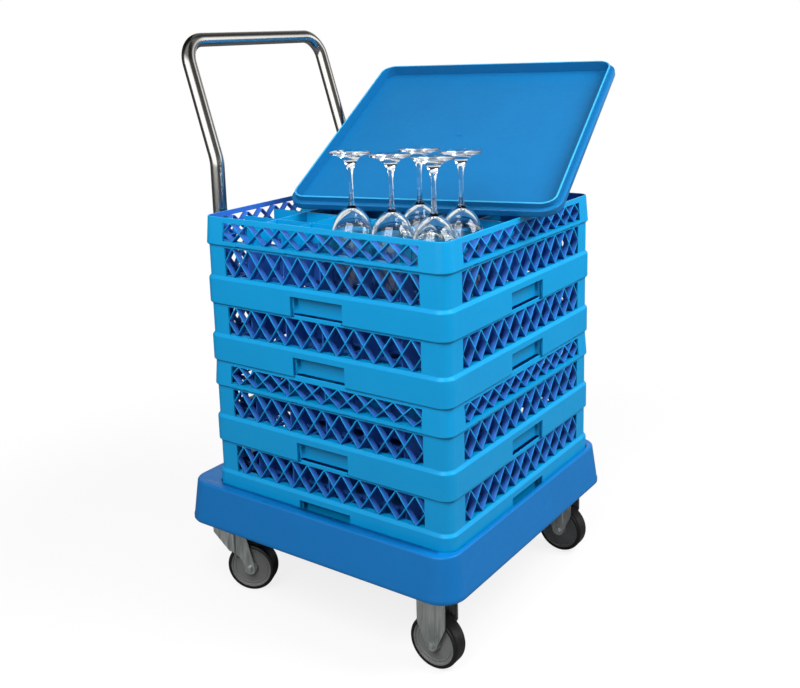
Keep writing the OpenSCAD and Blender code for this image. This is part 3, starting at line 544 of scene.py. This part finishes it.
def ground_white():
    """Matt grey ground that shows white with the dolly's shadow, and plain white farther out."""
    material, tree, place = new_surface("paper ground matt")
    fibres = add(tree, "ShaderNodeTexNoise", {"Vector": place, "Scale": 300, "Detail": 2})
    relief = add(tree, "ShaderNodeBump", {
        "Height": fibres.outputs["Fac"], "Strength": 0.02, "Distance": 0.0002})
    path = add(tree, "ShaderNodeLightPath").outputs
    seen = add(tree, "ShaderNodeMath", {
        0: path["Is Camera Ray"], 1: path["Is Transmission Ray"]}, operation="MAXIMUM").outputs[0]
    shader = add(tree, "ShaderNodeBsdfPrincipled", {
        "Base Color": paint("#6a6a6a"), "Roughness": 0.9, "Specular IOR Level": 0.0,
        "Normal": relief.outputs["Normal"], "Emission Color": paint("#ffffff"),
        "Emission Strength": times(tree, seen, GROUND_GLOW)})
    away = add(tree, "ShaderNodeVectorMath", {0: place}, operation="LENGTH")
    far = add(tree, "ShaderNodeMapRange", {
        "Value": away.outputs["Value"], "From Min": GROUND_NEAR, "From Max": GROUND_FAR},
        interpolation_type="SMOOTHSTEP")
    white = add(tree, "ShaderNodeEmission", {"Color": paint("#ffffff"), "Strength": 1.0})
    both = add(tree, "ShaderNodeMixShader", {
        0: times(tree, far.outputs["Result"], seen), 1: shader.outputs["BSDF"], 2: white.outputs[0]})
    add(tree, "ShaderNodeOutputMaterial", {"Surface": both.outputs[0]})
    return material


ground = bpy.data.meshes.new("ground")
corners = [(x * GROUND_HALF, y * GROUND_HALF, 0) for x, y in ((-1, -1), (1, -1), (1, 1), (-1, 1))]
ground.from_pydata(corners, [], [(0, 1, 2, 3)])
ground.materials.append(ground_white())
floor = bpy.data.objects.new("floor", ground)
floor.location.z = -GROUND_DROP
scene.collection.objects.link(floor)

# Surround: directions to the viewer and to the viewer's left, and the room that reflections show. PANELS
# goes once round from behind the dolly, as share of the turn and brightness: white behind it, a light
# panel at the right, a brighter one from the viewer to the left.
VIEWER_SIDE, LEFT_SIDE = (0.58, -0.81, 0.0), (-0.81, -0.58, 0.0)
PANELS = ((0.03, 1.0), (0.19, 0.04), (0.215, 1.6), (0.26, 1.6), (0.285, 0.14), (0.47, 0.14),
          (0.505, 2.0), (0.665, 2.0), (0.715, 0.04), (0.94, 0.04), (0.97, 1.0))
# Light that falls on all else, share of the room's brightness at the ceiling and through glass
SOFT_LIGHT, CEILING, THROUGH_GLASS = 0.38, 0.14, 0.25
# Rise of a ray from which the ceiling begins and where it is reached, and the same for its share towards
# the viewer and the white that glass shows behind the dolly
CEILING_FROM, CEILING_FULL = 0.3, 0.6
BACKDROP_FROM, BACKDROP_FULL = -0.4, -0.75


def surround():
    """White for the picture and behind glass, the room in reflections, soft light on all else."""
    world = bpy.data.worlds.new("white surround")
    world.use_nodes = True
    sky = world.node_tree
    sky.nodes.clear()
    path = add(sky, "ShaderNodeLightPath").outputs
    heading = add(sky, "ShaderNodeTexCoord").outputs["Generated"]
    ahead, aside = (add(sky, "ShaderNodeVectorMath", {0: heading, 1: side}, operation="DOT_PRODUCT")
                    .outputs["Value"] for side in (VIEWER_SIDE, LEFT_SIDE))
    angle = add(sky, "ShaderNodeMath", {0: aside, 1: ahead}, operation="ARCTAN2")
    around = add(sky, "ShaderNodeMapRange", {
        "Value": angle.outputs[0], "From Min": -math.pi, "From Max": math.pi})
    panels = add(sky, "ShaderNodeValToRGB", {0: around.outputs["Result"]})
    stops = panels.color_ramp.elements
    for _ in PANELS[2:]:
        stops.new(0.5)
    for (spot, shade), stop in zip(PANELS, list(stops)):
        stop.position, stop.color = spot, (shade, shade, shade, 1)
    rise = add(sky, "ShaderNodeSeparateXYZ", {0: heading})
    ceiling = add(sky, "ShaderNodeMapRange", {
        "Value": rise.outputs["Z"], "From Min": CEILING_FROM, "From Max": CEILING_FULL,
        "To Min": 1.0, "To Max": CEILING})
    through = add(sky, "ShaderNodeMapRange", {
        "Value": path["Is Transmission Ray"], "To Min": 1.0, "To Max": THROUGH_GLASS})
    dimmed = times(sky, panels.outputs["Color"], ceiling.outputs["Result"])
    room = times(sky, dimmed, through.outputs["Result"])
    behind = add(sky, "ShaderNodeMapRange", {
        "Value": ahead, "From Min": BACKDROP_FROM, "From Max": BACKDROP_FULL})
    backdrop = add(sky, "ShaderNodeMath", {
        0: path["Is Camera Ray"], 1: times(sky, behind.outputs["Result"], path["Is Transmission Ray"])},
        operation="MAXIMUM")
    gleam = add(sky, "ShaderNodeMath", {0: room, 1: backdrop.outputs[0]}, operation="MAXIMUM")
    seen = add(sky, "ShaderNodeMath", {0: path["Is Camera Ray"], 1: path["Is Glossy Ray"]}, operation="ADD")
    shown = add(sky, "ShaderNodeMath", {
        0: seen.outputs[0], 1: path["Is Transmission Ray"]}, operation="ADD", use_clamp=True)
    soft = add(sky, "ShaderNodeBackground", {"Color": paint("#ffffff"), "Strength": SOFT_LIGHT})
    white = add(sky, "ShaderNodeBackground", {"Color": paint("#ffffff"), "Strength": gleam.outputs[0]})
    both = add(sky, "ShaderNodeMixShader", {0: shown.outputs[0], 1: soft.outputs[0], 2: white.outputs[0]})
    add(sky, "ShaderNodeOutputWorld", {"Surface": both.outputs[0]})
    return world


scene.world = surround()

# Soft lamps: name, place and size in metres, watts. Reflections show the panels instead of them.
LAMPS = (("key", (0.25, -1.5, 1.85), 1.3, 44), ("side", (1.5, 0.45, 1.85), 1.1, 54))
LIT_PLACE = Vector((0, 0, 0.45))
for name, place, size, power in LAMPS:
    lamp = bpy.data.lights.new(name, "AREA")
    lamp.shape, lamp.size, lamp.energy = "SQUARE", size, power
    holder = bpy.data.objects.new(name, lamp)
    holder.location = place
    holder.visible_glossy = False
    holder.rotation_euler = (LIT_PLACE - Vector(place)).to_track_quat("-Z", "Y").to_euler()
    scene.collection.objects.link(holder)

# Camera of the photograph: place in metres; turn, tilt and roll; lens and sensor in millimetres; shift
CAMERA_PLACE = (1.045, -1.458, 1.0102)
YAW, PITCH, ROLL = (math.radians(degrees) for degrees in (35.293, 11.561, 1.53))
LENS, SENSOR, SHIFT = 45.825, 36, -0.1335
view = bpy.data.cameras.new("view")
view.lens, view.sensor_width, view.sensor_fit, view.shift_y = LENS, SENSOR, "HORIZONTAL", SHIFT
camera = bpy.data.objects.new("camera", view)
ahead = Vector((-math.sin(YAW) * math.cos(PITCH), math.cos(YAW) * math.cos(PITCH), -math.sin(PITCH)))
level = ahead.cross(Vector((0, 0, 1))).normalized()
down = ahead.cross(level)
right = math.cos(ROLL) * level + math.sin(ROLL) * down
up = math.sin(ROLL) * level - math.cos(ROLL) * down
turned = Matrix((right, up, -ahead)).transposed().to_4x4()
camera.matrix_world = Matrix.Translation(CAMERA_PLACE) @ turned
scene.collection.objects.link(camera)
scene.camera = camera
scene.view_settings.view_transform = "Standard"
